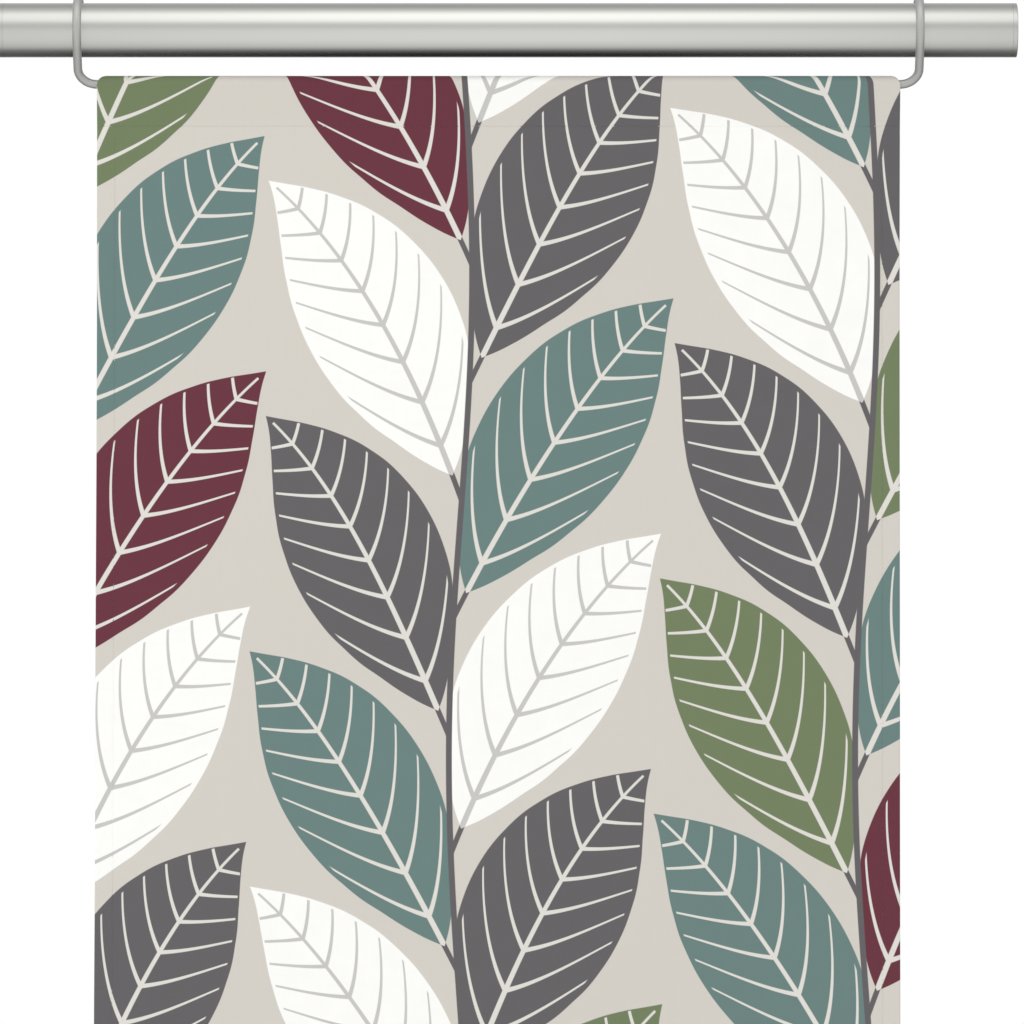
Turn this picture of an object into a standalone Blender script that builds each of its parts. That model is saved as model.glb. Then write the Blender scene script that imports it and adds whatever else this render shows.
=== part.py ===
"""A flat panel curtain that hangs from a short round rod by two wire hooks.

Metres, +Z up. The origin is on the rod's axis, above the middle of the panel. The front faces -Y.
The cloth is one closed sheet: its heading is turned over into a tunnel round a thin hollow bar, and
its sides and its foot are turned to the back as hems. Each hook is one bent wire. It starts behind
the rod, comes over the top and down the front, and turns in at the panel's corner, where its end
sits in the bar's bore. The wire leaves the rod along a tangent, so the panel hangs straight under
the rod's axis.
"""

import math

import bmesh
import bpy
from mathutils import Vector

GAP = 0.0003  # clearance between fitted pieces

# The rod, a tube with a cap pressed in at each end
ROD_RADIUS = 0.0145
ROD_WALL = 0.0012
ROD_LENGTH = 0.545  # over both caps
ROD_SHIFT = 0.005  # how far the rod's middle lies to the right of the panel's
CAP_FLANGE = 0.0025
CAP_SKIRT = 0.012  # length of the ring behind the flange that fits in the tube
CAP_WALL = 0.0015
CAP_EDGE = 0.0004  # chamfer round the cap's face
ROD_SIDES = 72

# The hooks, round wire
WIRE_RADIUS = 0.00235
WIRE_END = 0.0006  # chamfer at a wire's cut ends
HOOK_BEND = 0.010  # centreline radius of the turn into the heading bar
HOOK_TAIL = math.radians(38)  # how far below level the wire ends behind the rod
HOOK_REACH = 0.030  # length of wire past the panel's side, in the heading bar
WIRE_STEP = math.radians(9)  # spacing of points round a bend

# The heading bar, a tube that the hooks' ends slide into
BAR_WALL = 0.0005
BAR_INSET = 0.002  # how far its ends lie inside the panel's sides
BAR_SIDES = 24

# The cloth
PANEL_WIDTH = 0.430
PANEL_DROP = 2.400
PANEL_TOP = -0.0244  # height of its top edge
SHEET = 0.0011  # thickness of one layer
HEADING_HEM = 0.032  # from the top edge to the turned-in edge of the heading
HEADING_SEAM = 0.026  # from the top edge to where the tunnel's two walls meet
SIDE_HEM = 0.012
FOOT_HEM = 0.030
HEM_STEP = 0.0008  # width of the slope from two layers down to one
FOLD_EDGE = 0.0004  # rounding of the cloth's outer edges
CORNER_RADIUS = 0.005  # at the two top corners
CORNER_BLEND = 0.030  # how far in from a side the corner's rounding fades out
COLUMN_SPACING = 0.036
ROW_SPACING = 0.060
TUNNEL_SEGMENTS = 18

# Slow, shallow waves of the hanging cloth: depth, width of one wave, height of one wave, phase
WAVES = (
    (0.0014, 0.33, 2.3, 0.4),
    (0.0009, 0.21, -1.4, 1.9),
)
WAVE_ONSET = 0.7  # below the heading, where the waves reach their full depth

# How far each side strays outwards: height under the rod's axis, left side, right side
EDGE_DRIFT = (
    (0.02, 0.0000, 0.0000),
    (0.13, 0.0001, -0.0002),
    (0.41, 0.0011, 0.0000),
    (0.56, 0.0018, 0.0002),
    (1.00, 0.0006, 0.0008),
    (1.70, -0.0008, -0.0006),
    (2.45, 0.0000, 0.0000),
)

HOOK_RADIUS = ROD_RADIUS + GAP + WIRE_RADIUS
BAR_RADIUS = WIRE_RADIUS + GAP + BAR_WALL
TUNNEL_RADIUS = BAR_RADIUS + GAP
BAR_HEIGHT = PANEL_TOP - SHEET - TUNNEL_RADIUS
HALF_WIDTH = PANEL_WIDTH / 2
PANEL_FOOT = PANEL_TOP - PANEL_DROP

# name: colour, roughness, metallic
FINISHES = {
    "printed_cloth": ((0.69, 0.65, 0.59), 0.85, 0.0),
    "rod_steel": ((0.62, 0.62, 0.60), 0.28, 1.0),
    "cap_steel": ((0.60, 0.60, 0.58), 0.32, 1.0),
    "hook_wire": ((0.50, 0.50, 0.49), 0.35, 1.0),
    "bar_metal": ((0.55, 0.55, 0.55), 0.40, 1.0),
}


def clear_scene():
    for item in list(bpy.data.objects):
        bpy.data.objects.remove(item, do_unlink=True)


def finish(name):
    colour, roughness, metallic = FINISHES[name]
    material = bpy.data.materials.new(name)
    material.use_nodes = True
    shader = material.node_tree.nodes["Principled BSDF"]
    shader.inputs["Base Color"].default_value = (*colour, 1.0)
    shader.inputs["Roughness"].default_value = roughness
    shader.inputs["Metallic"].default_value = metallic
    return material


def place(name, data, material):
    item = bpy.data.objects.new(name, data)
    item.data.materials.append(material)
    bpy.context.scene.collection.objects.link(item)
    return item


def mesh_from(name, bm, sharp_angle=math.radians(35)):
    mesh = bpy.data.meshes.new(name)
    bm.normal_update()
    bm.to_mesh(mesh)
    bm.free()
    mesh.shade_smooth()
    mesh.set_sharp_from_angle(angle=sharp_angle)
    return mesh


def turned(name, profile, sides, ring):
    """A mesh turned about the X axis from (x, radius) points. A ring's profile closes on itself."""
    bm = bmesh.new()
    verts = [bm.verts.new((x, 0.0, radius)) for x, radius in profile]
    pairs = list(zip(verts, verts[1:] + verts[:1]))
    edges = [bm.edges.new(pair) for pair in (pairs if ring else pairs[:-1])]
    bmesh.ops.spin(
        bm,
        geom=verts + edges,
        cent=(0, 0, 0),
        axis=(1, 0, 0),
        angle=math.tau,
        steps=sides,
        use_merge=True,
    )
    bmesh.ops.remove_doubles(bm, verts=bm.verts, dist=1e-6)
    bmesh.ops.recalc_face_normals(bm, faces=bm.faces)
    return mesh_from(name, bm)


def tube(name, half_length, outer, inner, sides):
    profile = ((-half_length, inner), (-half_length, outer), (half_length, outer), (half_length, inner))
    return turned(name, profile, sides, ring=True)


# Rod


def rod_pieces():
    """The tube and its two caps, which stand clear of the tube's ends by one gap."""
    half_tube = ROD_LENGTH / 2 - CAP_FLANGE - GAP
    bore = ROD_RADIUS - ROD_WALL
    body = place(
        "rod_tube", tube("rod_tube", half_tube, ROD_RADIUS, bore, ROD_SIDES), finish("rod_steel")
    )
    body.location.x = ROD_SHIFT
    steel = finish("cap_steel")
    for side, name in ((-1, "rod_cap_left"), (1, "rod_cap_right")):
        cap = place(name, cap_mesh(name, bore - GAP), steel)
        cap.location.x = ROD_SHIFT + side * (ROD_LENGTH / 2 - CAP_FLANGE)
        if side < 0:
            cap.rotation_euler.z = math.pi


def cap_mesh(name, skirt_radius):
    """A flat-faced disc as wide as the rod, whose inner face is at x = 0, with a skirt behind it."""
    lead = 2 * CAP_EDGE
    profile = (
        (0.0, 0.0),
        (0.0, skirt_radius - CAP_WALL),
        (-CAP_SKIRT, skirt_radius - CAP_WALL),
        (-CAP_SKIRT, skirt_radius - lead),
        (-CAP_SKIRT + lead, skirt_radius),
        (0.0, skirt_radius),
        (0.0, ROD_RADIUS),
        (CAP_FLANGE - CAP_EDGE, ROD_RADIUS),
        (CAP_FLANGE, ROD_RADIUS - CAP_EDGE),
        (CAP_FLANGE, 0.0),
    )
    return turned(name, profile, ROD_SIDES, ring=False)


# Hooks


def arc_angles(start, end):
    steps = math.ceil(abs(end - start) / WIRE_STEP)
    return [start + (end - start) * i / steps for i in range(steps + 1)]


def hook_route(side):
    """The wire's centreline: round the rod from behind, down its front, and into the bar's end."""
    leave = math.pi - math.acos(HOOK_RADIUS / -BAR_HEIGHT)  # from the top, where it leaves the rod
    stand = side * (HALF_WIDTH + HOOK_BEND)
    inwards = Vector((-side, 0, 0))
    route = [
        Vector((stand, -HOOK_RADIUS * math.sin(a), HOOK_RADIUS * math.cos(a)))
        for a in arc_angles(-math.pi / 2 - HOOK_TAIL, leave)
    ]
    corner = Vector((stand, 0, BAR_HEIGHT))
    down = (corner - route[-1]).normalized()
    centre = corner + HOOK_BEND * (inwards - down)
    route += [
        centre + HOOK_BEND * (down * math.sin(a) - inwards * math.cos(a))
        for a in arc_angles(0, math.pi / 2)
    ]
    route.append(route[-1] + inwards * HOOK_REACH)
    return route


def with_cut_ends(route):
    """(point, radius) along a wire, with a small chamfer at both ends."""
    first = route[0] + (route[1] - route[0]).normalized() * WIRE_END
    last = route[-1] + (route[-2] - route[-1]).normalized() * WIRE_END
    slim = 1 - WIRE_END / WIRE_RADIUS
    full = [(point, 1.0) for point in (first, *route[1:-1], last)]
    return [(route[0], slim), *full, (route[-1], slim)]


def hook(name, side, material):
    points = with_cut_ends(hook_route(side))
    curve = bpy.data.curves.new(name, "CURVE")
    curve.dimensions = "3D"
    curve.bevel_depth = WIRE_RADIUS
    curve.bevel_resolution = 6
    curve.use_fill_caps = True
    curve.twist_mode = "MINIMUM"
    spline = curve.splines.new("POLY")
    spline.points.add(len(points) - 1)
    for target, (point, radius) in zip(spline.points, points):
        target.co = (*point, 1.0)
        target.radius = radius
    spline.use_smooth = True
    return place(name, curve, material)


def hooks():
    wire = finish("hook_wire")
    hook("hook_left", -1, wire)
    hook("hook_right", 1, wire)


def heading_bar():
    half = HALF_WIDTH - BAR_INSET
    mesh = tube("heading_bar", half, BAR_RADIUS, BAR_RADIUS - BAR_WALL, BAR_SIDES)
    bar = place("heading_bar", mesh, finish("bar_metal"))
    bar.location.z = BAR_HEIGHT


# Cloth


def smooth_step(value):
    value = min(1.0, max(0.0, value))
    return value * value * (3 - 2 * value)


def drift(height):
    """How far the left and the right side stray outwards at a height."""
    drop = -height
    if drop <= EDGE_DRIFT[0][0]:
        return EDGE_DRIFT[0][1:]
    for (high, *above), (low, *below) in zip(EDGE_DRIFT, EDGE_DRIFT[1:]):
        if drop <= low:
            share = smooth_step((drop - high) / (low - high))
            return [a + (b - a) * share for a, b in zip(above, below)]
    return EDGE_DRIFT[-1][1:]


def sway(x, height):
    """How far the hanging cloth stands behind its plane."""
    onset = smooth_step((PANEL_TOP - HEADING_HEM - height) / WAVE_ONSET)
    return onset * sum(
        depth * math.sin(math.tau * (x / width + height / rise) + phase)
        for depth, width, rise, phase in WAVES
    )


def corner_inset(height):
    """How far the rounding of a top corner draws the side in."""
    above = height - (PANEL_TOP - CORNER_RADIUS)
    if above <= 0:
        return 0.0
    return CORNER_RADIUS - math.sqrt(max(CORNER_RADIUS**2 - above**2, 0.0))


def hung(x, y, height):
    """A point of the flat, square-cornered cloth, moved to where it hangs."""
    left, right = drift(height)
    share = x / PANEL_WIDTH + 0.5
    rim = smooth_step(1 - (HALF_WIDTH - abs(x)) / CORNER_BLEND)
    inset = math.copysign(corner_inset(height) * rim, x)
    return Vector((x + right * share - left * (1 - share) - inset, y + sway(x, height), height))


def spaced(start, end, spacing):
    steps = math.ceil(abs(end - start) / spacing)
    return [start + (end - start) * i / steps for i in range(steps + 1)]


def column_places():
    """The cloth's columns across: each hem's edge, fold and slope, and even ones between."""
    inner = HALF_WIDTH - SIDE_HEM - HEM_STEP
    rim = [HALF_WIDTH, HALF_WIDTH - FOLD_EDGE, HALF_WIDTH - SIDE_HEM]
    return [-x for x in rim] + spaced(-inner, inner, COLUMN_SPACING) + rim[::-1]


def row_places():
    """The cloth's rows from its foot up to where the tunnel's walls part."""
    foot = [PANEL_FOOT, PANEL_FOOT + FOLD_EDGE, PANEL_FOOT + FOOT_HEM]
    low = PANEL_FOOT + FOOT_HEM + HEM_STEP
    high = PANEL_TOP - HEADING_HEM
    head = [high, PANEL_TOP - HEADING_SEAM]
    return foot + spaced(low, high - HEM_STEP, ROW_SPACING) + head


def layers(x, height):
    """The front and back faces of the cloth: one layer, or two where a hem is turned back."""
    in_side = abs(x) >= HALF_WIDTH - SIDE_HEM - 1e-9
    in_foot = height <= PANEL_FOOT + FOOT_HEM + 1e-9
    in_head = height >= PANEL_TOP - HEADING_HEM - 1e-9
    front = -SHEET
    back = SHEET if in_side or in_foot or in_head else 0.0
    if abs(x) > HALF_WIDTH - FOLD_EDGE / 2 or height < PANEL_FOOT + FOLD_EDGE / 2:
        front += FOLD_EDGE
        back -= FOLD_EDGE
    return front, back


def tunnel_ring(radius, start_y):
    """(y, height) round the tunnel, from the meeting of its walls in front to that at the back."""
    meet = PANEL_TOP - HEADING_SEAM
    away = math.hypot(start_y, meet - BAR_HEIGHT)
    lean = math.atan2(start_y, BAR_HEIGHT - meet)
    touch = math.pi - math.acos(radius / away) - lean
    ring = [
        (-radius * math.sin(a), BAR_HEIGHT + radius * math.cos(a))
        for a in (touch - 2 * touch * i / TUNNEL_SEGMENTS for i in range(TUNNEL_SEGMENTS + 1))
    ]
    return [(-start_y, meet), *ring, (start_y, meet)]


def cloth_column(bm, x, rows):
    """One column's vertices: the front and back faces, and the tunnel's outer and inner rings."""
    rim = FOLD_EDGE if abs(x) > HALF_WIDTH - FOLD_EDGE / 2 else 0.0
    outer = tunnel_ring(TUNNEL_RADIUS + SHEET - rim, SHEET - rim)
    inner = tunnel_ring(TUNNEL_RADIUS, 0.0)
    front, back = ([], [])
    for height in rows[:-1]:
        near, far = layers(x, height)
        front.append(bm.verts.new(hung(x, near, height)))
        back.append(bm.verts.new(hung(x, far, height)))
    around = [bm.verts.new(hung(x, y, height)) for y, height in outer]
    within = [bm.verts.new(hung(x, y, height)) for y, height in inner[:-1]]
    front.append(around[0])
    back.append(around[-1])
    return {"front": front, "back": back, "around": around, "within": within + within[:1]}


def bridge(bm, lines):
    """Quads between neighbouring lines of vertices."""
    for one, two in zip(lines, lines[1:]):
        for a, b, c, d in zip(one, one[1:], two[1:], two):
            bm.faces.new((a, b, c, d))


def close_side(bm, column):
    """The cloth's cut side: a strip between its faces, and a ring at the tunnel's mouth."""
    front, back, around, within = (column[k] for k in ("front", "back", "around", "within"))
    bridge(bm, (front[:-1], back[:-1]))
    bm.faces.new((front[-2], front[-1], within[0], back[-1], back[-2]))
    bridge(bm, (around, within))


def panel_mesh():
    bm = bmesh.new()
    rows = row_places()
    columns = [cloth_column(bm, x, rows) for x in column_places()]
    for face in ("front", "back", "around", "within"):
        bridge(bm, [column[face] for column in columns])
    bridge(bm, [[column["front"][0] for column in columns], [column["back"][0] for column in columns]])
    close_side(bm, columns[0])
    close_side(bm, columns[-1])
    bmesh.ops.recalc_face_normals(bm, faces=bm.faces)
    return mesh_from("panel", bm, sharp_angle=math.radians(50))


def main():
    clear_scene()
    rod_pieces()
    hooks()
    heading_bar()
    place("panel", panel_mesh(), finish("printed_cloth"))


main()
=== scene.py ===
"""A printed panel curtain on a short satin steel rod, finished for close looks.

Metres, +Z up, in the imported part's own frame: the origin is on the rod's axis, above the middle of
the panel, and the front faces -Y. The script is laid out as an add-on and is run as a script.
"""

import math

import bmesh
import bpy
from bpy.props import FloatProperty, FloatVectorProperty, IntProperty, PointerProperty
from bpy.types import Operator, Panel, PropertyGroup
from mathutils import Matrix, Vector


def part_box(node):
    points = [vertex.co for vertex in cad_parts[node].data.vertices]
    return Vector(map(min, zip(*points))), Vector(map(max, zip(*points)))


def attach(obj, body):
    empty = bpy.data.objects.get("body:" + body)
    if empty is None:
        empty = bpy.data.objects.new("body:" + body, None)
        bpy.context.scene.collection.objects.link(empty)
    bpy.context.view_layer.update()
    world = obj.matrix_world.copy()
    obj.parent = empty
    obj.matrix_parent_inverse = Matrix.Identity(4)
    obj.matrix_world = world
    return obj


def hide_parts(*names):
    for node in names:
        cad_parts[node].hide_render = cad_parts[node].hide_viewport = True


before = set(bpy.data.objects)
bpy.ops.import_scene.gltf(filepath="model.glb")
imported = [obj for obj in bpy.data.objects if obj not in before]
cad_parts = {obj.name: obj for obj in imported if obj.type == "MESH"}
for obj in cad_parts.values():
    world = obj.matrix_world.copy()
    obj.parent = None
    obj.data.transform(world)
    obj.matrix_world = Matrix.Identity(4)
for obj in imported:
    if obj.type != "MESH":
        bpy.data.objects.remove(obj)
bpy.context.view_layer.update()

bl_info = {
    "name": "Panel curtain",
    "version": (1, 0, 0),
    "blender": (4, 5, 0),
    "location": "3D View > Sidebar > Curtain",
    "description": "Dresses a panel curtain, its hooks and its rod around their packed solids",
    "category": "Add Mesh",
}

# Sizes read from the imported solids
PANEL_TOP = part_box("panel")[1].z
PANEL_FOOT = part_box("panel")[0].z
ROD_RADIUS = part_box("rod_tube")[1].z
ROD_ENDS = (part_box("rod_tube")[0].x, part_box("rod_tube")[1].x)
CAP_ENDS = (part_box("rod_cap_left")[0].x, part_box("rod_cap_right")[1].x)
BAR_ENDS = (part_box("heading_bar")[0].x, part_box("heading_bar")[1].x)
BAR_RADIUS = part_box("heading_bar")[1].y
BAR_HEIGHT = (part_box("heading_bar")[0].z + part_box("heading_bar")[1].z) / 2

GAP = 0.0003  # clearance between fitted pieces
JOINT = 0.00005  # what is seen of the joint between the rod and its caps
ROD_WALL = 0.0012
ROD_EASE = 0.00004  # chamfer at the tube's ends
ROD_SIDES = 160
CAP_EDGE = 0.0005  # rounding round the cap's face
CAP_LEAD = 0.0008  # chamfer that leads the skirt into the tube
CAP_FLANGE = 0.0025
CAP_SKIRT = 0.012
CAP_WALL = 0.0015
BAR_WALL = 0.0005
BAR_EASE = 0.0001
BAR_SIDES = 64
BAR_INSET = 0.002  # how far the bar's ends lie inside the panel's sides
HALF_WIDTH = BAR_ENDS[1] + BAR_INSET
PANEL_WIDTH = 2 * HALF_WIDTH

# The hooks' wire, on the solids' own centreline
WIRE_RADIUS = 0.00235
WIRE_END = 0.0006  # chamfer at the wire's cut ends
HOOK_RADIUS = ROD_RADIUS + GAP + WIRE_RADIUS
HOOK_BEND = 0.010
HOOK_TAIL = math.radians(38)  # how far below level the wire ends behind the rod
HOOK_REACH = 0.030
WIRE_STEP = math.radians(3)
WIRE_SIDES = 28

# The cloth's outer face, on the solid's own
FRONT = 0.0011  # how far the front face stands before the panel's plane
TUNNEL_RADIUS = BAR_RADIUS + GAP + FRONT  # of its outer face
CORNER_RADIUS = 0.005
CORNER_BLEND = 0.030  # how far in from a side its rounded top corner draws the cloth
NOSE = 0.0009  # depth of the rounding where the cloth is folded back on itself
RIM = 0.0006  # rounding at a hem's inner edge
RIM_PAST = 1.6  # where the flat beyond a rounding is held flat, in depths of the rounding
SEAM_REACH = 0.0014  # how far from its middle a seam draws the cloth in
SEAM_SINK = (0.00001, 0.00014)  # how deep it sinks into the front and the back
CORNER_PRESS = 0.5  # how much of the fourth layer is left where two hems cross
TUNNEL_STEPS = 30
HEADING_ROWS = 0.0015  # spacing of the mesh's rows in the heading

# The rows of stitches, and where they lie
SEAM_ROWS = ("heading_stitches", "foot_stitches", "left_side_stitches", "right_side_stitches")
HEADING_ROW_DROP = 0.001  # below where the tunnel's walls part
ROW_INSET = 0.003  # from a level row's ends to the panel's sides
SIDE_ROW_DROP = 0.001  # from the heading's turned edge to a side row's top
THREAD_PROUD = 0.2  # how far a stitch's middle stands off the cloth, in thread thicknesses
LEVEL_STEP = 0.004
SIDE_STEP = 0.010

# Slow, shallow waves of the hanging cloth: depth, width of one wave, height of one wave, phase
WAVES = (
    (0.0014, 0.33, 2.3, 0.4),
    (0.0009, 0.21, -1.4, 1.9),
)
WAVE_HEAD = 0.032  # below the top edge, where the waves begin
WAVE_ONSET = 0.7  # height over which they grow to their full depth

# How far each side strays outwards: height under the rod's axis, left side, right side
EDGE_DRIFT = (
    (0.02, 0.0000, 0.0000),
    (0.13, 0.0001, -0.0002),
    (0.41, 0.0011, 0.0000),
    (0.56, 0.0018, 0.0002),
    (1.00, 0.0006, 0.0008),
    (1.70, -0.0008, -0.0006),
    (2.45, 0.0000, 0.0000),
)

# Half width of a leaf along its midrib: share of its length, share of its widest half width
LEAF_OUTLINE = (
    (0.00, 0.00),
    (0.05, 0.26),
    (0.12, 0.52),
    (0.22, 0.80),
    (0.34, 0.97),
    (0.44, 1.00),
    (0.56, 0.93),
    (0.68, 0.76),
    (0.79, 0.52),
    (0.88, 0.29),
    (0.95, 0.11),
    (1.00, 0.00),
)
LEAF_RISE = 2.3  # how steeply a midrib leaves its stem, rise for reach
LEAF_BOW = -6.6  # how its rise lessens with reach
LEAF_FOOT = 0.006  # from the stem's middle to a leaf's foot
LEAF_RIM = 0.003  # bare ground round a leaf
LEAF_DROP = 0.010  # how far a leaf may reach below where its midrib leaves the stem
LEAF_GIRTH = (0.95, 0.07)  # least share of the full width, and how much more a leaf may have
LEAF_ORDER = ("teal", "white", "white", "green", "teal", "burgundy", "grey", "grey")
LEAF_TURNS = (3, 7, 5)  # steps through that order: to the next leaf, stem and side
SIDE_LIFT = 0.5  # how much higher the right side's leaves start, in leaf spacings
STEM_LIFT = 0.31  # how much higher the next stem's leaves start, in leaf spacings
STEM_SWING = 0.006  # how far a stem sways to each side
SWING_HEIGHT = 0.52  # of one whole sway

# The print's drawn lines: half widths, and how much of them is lost towards a tip or a margin
STEM_HALF = 0.0016
STALK_HALF = 0.0014
MIDRIB_HALF = 0.0015
MIDRIB_TAPER = 0.0009
VEIN_HALF = 0.0012
VEIN_TAPER = 0.00054
MIDRIB_END = 0.96  # share of the leaf's length
VEIN_END = 0.93  # share of the leaf's length and half width
VEIN_LEAN = 0.15  # how far forward a side vein runs by the margin, in leaf lengths
VEIN_BOW = 0.12  # how much more it curves forward there
VEIN_START = 0.35  # how much nearer the foot than a whole spacing the first side vein starts
VEIN_SPREAD = 1.6  # distance across the side veins for reach along their midrib
INK_EDGE = 0.0004  # width over which an inked edge softens

# The surfaces' fine relief
THREAD_DIP = 0.45  # how much of its height a thread of the weave loses where it goes under
SLUBS = 9  # slubs in a metre of the weave's thread
GRAIN_DEPTH = 0.000004  # of the streaks in the metal

# Brightness that metal sees, turned about the rod's axis: degrees up from the front, brightness
STUDIO = (
    (-180, 0.60),
    (-165, 0.40),
    (-150, 0.04),
    (-130, 0.02),
    (-114, 0.08),
    (-100, 0.21),
    (-88, 0.58),
    (-77, 0.88),
    (-67, 0.98),
    (-55, 1.09),
    (-42, 1.17),
    (-20, 1.17),
    (-4, 1.13),
    (4, 1.02),
    (12, 0.91),
    (20, 0.93),
    (29, 1.19),
    (37, 1.57),
    (46, 1.74),
    (56, 1.80),
    (66, 1.83),
    (76, 1.55),
    (87, 1.11),
    (99, 0.81),
    (120, 0.51),
    (130, 0.62),
    (180, 0.60),
)
STUDIO_FULL = 2.0  # brightness that the ramp's white stands for
SIDE_LOSS = 0.25  # how much darker the bands are straight to the sides
LAMP_PLACE = (-1.6, -2.6, 1.0)
LAMP_AIM = (0, 0, -0.4)
LAMP_SIZE = 1.6
FLOOR_DROP = 0.03  # from the panel's foot to the floor
FLOOR_RADIUS = 11.0


# Settings


def size(name, description, default):
    return FloatProperty(
        name=name, description=description, default=default, unit="LENGTH", precision=5
    )


def share(name, description, default):
    return FloatProperty(
        name=name, description=description, default=default, min=0, max=1, subtype="FACTOR"
    )


def colour(name, description, default):
    return FloatVectorProperty(
        name=name, description=description, default=default, size=3, min=0, max=1, subtype="COLOR"
    )


class ClothSettings(PropertyGroup):
    layer: size("Layer", "Thickness of one layer of cloth", 0.0008)
    side_hem: size("Side hem", "Width of the hem along each side", 0.012)
    foot_hem: size("Foot hem", "Height of the hem along the foot", 0.030)
    heading_hem: size("Heading", "Height of the cloth turned back over the bar", 0.032)
    heading_seam: size("Heading seam", "From the top edge to the seam under the bar", 0.026)
    seam_inset: size("Seam inset", "From a hem's inner edge to its seam", 0.0025)
    column_spacing: size("Column spacing", "Widest spacing of the mesh's columns", 0.009)
    row_spacing: size("Row spacing", "Widest spacing of the mesh's rows", 0.014)
    weave_pitch: size("Weave pitch", "From one thread of the weave to the next", 0.00045)
    weave_relief: size("Weave relief", "Height of the weave's threads", 0.00004)
    roughness: share("Roughness", "Roughness of the cloth", 0.82)
    strike_through: share("Strike-through", "How much of the print shows on the wrong side", 0.34)
    wrong_side: colour("Wrong side", "Bare cloth on the wrong side", (0.76, 0.745, 0.715))


class PrintSettings(PropertyGroup):
    stem_spacing: size("Stem spacing", "From one climbing stem to the next", 0.217)
    stem_start: size("Stem start", "Where the first stem stands, from the panel's middle", -0.020)
    leaf_spacing: size("Leaf spacing", "From one leaf to the next on a stem's side", 0.126)
    leaf_width: size("Leaf width", "Width of the widest leaf", 0.082)
    leaf_reach: size("Leaf reach", "How far a leaf's tip stands from its stem", 0.108)
    veins: IntProperty(name="Veins", description="Side veins on each half leaf", default=9, min=1)
    ground: colour("Ground", "Ground of the print", (0.620, 0.590, 0.535))
    grey: colour("Grey", "Grey leaves and stems", (0.121, 0.114, 0.120))
    teal: colour("Teal", "Teal leaves", (0.137, 0.213, 0.202))
    burgundy: colour("Burgundy", "Burgundy leaves", (0.132, 0.032, 0.047))
    green: colour("Green", "Green leaves", (0.161, 0.205, 0.109))
    white: colour("White", "White leaves", (0.915, 0.912, 0.888))
    vein: colour("Vein", "Veins of the coloured leaves", (0.705, 0.684, 0.637))
    white_vein: colour("White leaf's vein", "Veins of the white leaves", (0.543, 0.537, 0.525))


class ThreadSettings(PropertyGroup):
    pitch: size("Pitch", "From one stitch to the next", 0.0032)
    stitch: size("Stitch", "Length of one stitch", 0.0027)
    thickness: size("Thickness", "Thickness of the sewing thread", 0.0003)


class MetalSettings(PropertyGroup):
    rod: colour("Rod", "Colour of the rod's steel", (0.550, 0.556, 0.526))
    rod_roughness: share("Rod roughness", "Roughness of the rod's satin steel", 0.20)
    # Painted shade: the rod's ends are drawn darker and less metallic, standing in for the studio
    # light's reflections that fade towards them
    rod_painted_dull: share("Dull ends", "How much metallic shine is taken off the rod's ends, as painted shade", 0.20)
    rod_painted_shade: share("Dark ends", "How much darker the rod's ends are than its middle", 0.13)
    wire: colour("Wire", "Colour of the hooks' wire", (0.425, 0.429, 0.412))
    wire_roughness: share("Wire roughness", "Roughness of the hooks' wire", 0.42)
    wire_metallic: share("Wire metallic", "How far the wire's dull plating acts as bare metal", 0.5)
    bar: colour("Bar", "Colour of the heading bar", (0.560, 0.560, 0.555))
    bar_roughness: share("Bar roughness", "Roughness of the heading bar", 0.35)


class StageSettings(PropertyGroup):
    camera_distance: size("Camera distance", "From the camera to the panel's plane", 4.0)
    camera_side: size("Camera side", "How far right of the panel's middle the camera stands", 0.0072)
    camera_height: size("Camera height", "Height of the camera, from the rod's axis", -0.258)
    lens: FloatProperty(name="Lens", description="Focal length in millimetres", default=262.54)
    surround: FloatProperty(name="Surround", description="Soft light from all round", default=0.97)
    key: FloatProperty(name="Key", description="Power of the soft lamp in watts", default=26.0)
    floor: colour("Floor", "Colour of the floor", (0.83, 0.83, 0.82))


SETTINGS = {
    "curtain_cloth": ClothSettings,
    "curtain_print": PrintSettings,
    "curtain_thread": ThreadSettings,
    "curtain_metal": MetalSettings,
    "curtain_stage": StageSettings,
}


# Node trees


class Value:
    """A number that varies over a surface. Arithmetic on it adds Math nodes to its tree."""

    def __init__(self, socket):
        self.socket = socket
        self.tree = socket.id_data

    def __add__(self, other):
        return math_node("ADD", self, other)

    def __sub__(self, other):
        return math_node("SUBTRACT", self, other)

    def __rsub__(self, other):
        return math_node("SUBTRACT", other, self)

    def __mul__(self, other):
        return math_node("MULTIPLY", self, other)

    def __truediv__(self, other):
        return math_node("DIVIDE", self, other)

    def __abs__(self):
        return math_node("ABSOLUTE", self)

    def __gt__(self, other):
        return math_node("GREATER_THAN", self, other)

    def __mod__(self, other):
        return math_node("FLOORED_MODULO", self, other)


def join(target, source):
    """Gives an input a constant, or links it to a Value or a socket."""
    if isinstance(source, Value):
        source = source.socket
    if isinstance(source, bpy.types.NodeSocket):
        source.id_data.links.new(source, target)
    else:
        target.default_value = source


def math_node(operation, *terms, clamp=False):
    tree = next(term.tree for term in terms if isinstance(term, Value))
    node = tree.nodes.new("ShaderNodeMath")
    node.operation = operation
    node.use_clamp = clamp
    for target, term in zip(node.inputs, terms):
        join(target, term)
    return Value(node.outputs[0])


def edge_mask(distance, softness):
    """1 where a distance is positive and 0 where it is negative, over a soft edge."""
    return math_node("MULTIPLY_ADD", distance, 1 / softness, 0.5, clamp=True)


def make(tree, kind, inputs=None, **settings):
    """A node with its settings, and its inputs joined by name."""
    node = tree.nodes.new(kind)
    for name, value in settings.items():
        setattr(node, name, value)
    for name, value in (inputs or {}).items():
        join(node.inputs[name], value)
    return node


def parts(place):
    """The three Values of a vector socket."""
    node = place.id_data.nodes.new("ShaderNodeSeparateXYZ")
    join(node.inputs[0], place)
    return [Value(socket) for socket in node.outputs]


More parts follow.
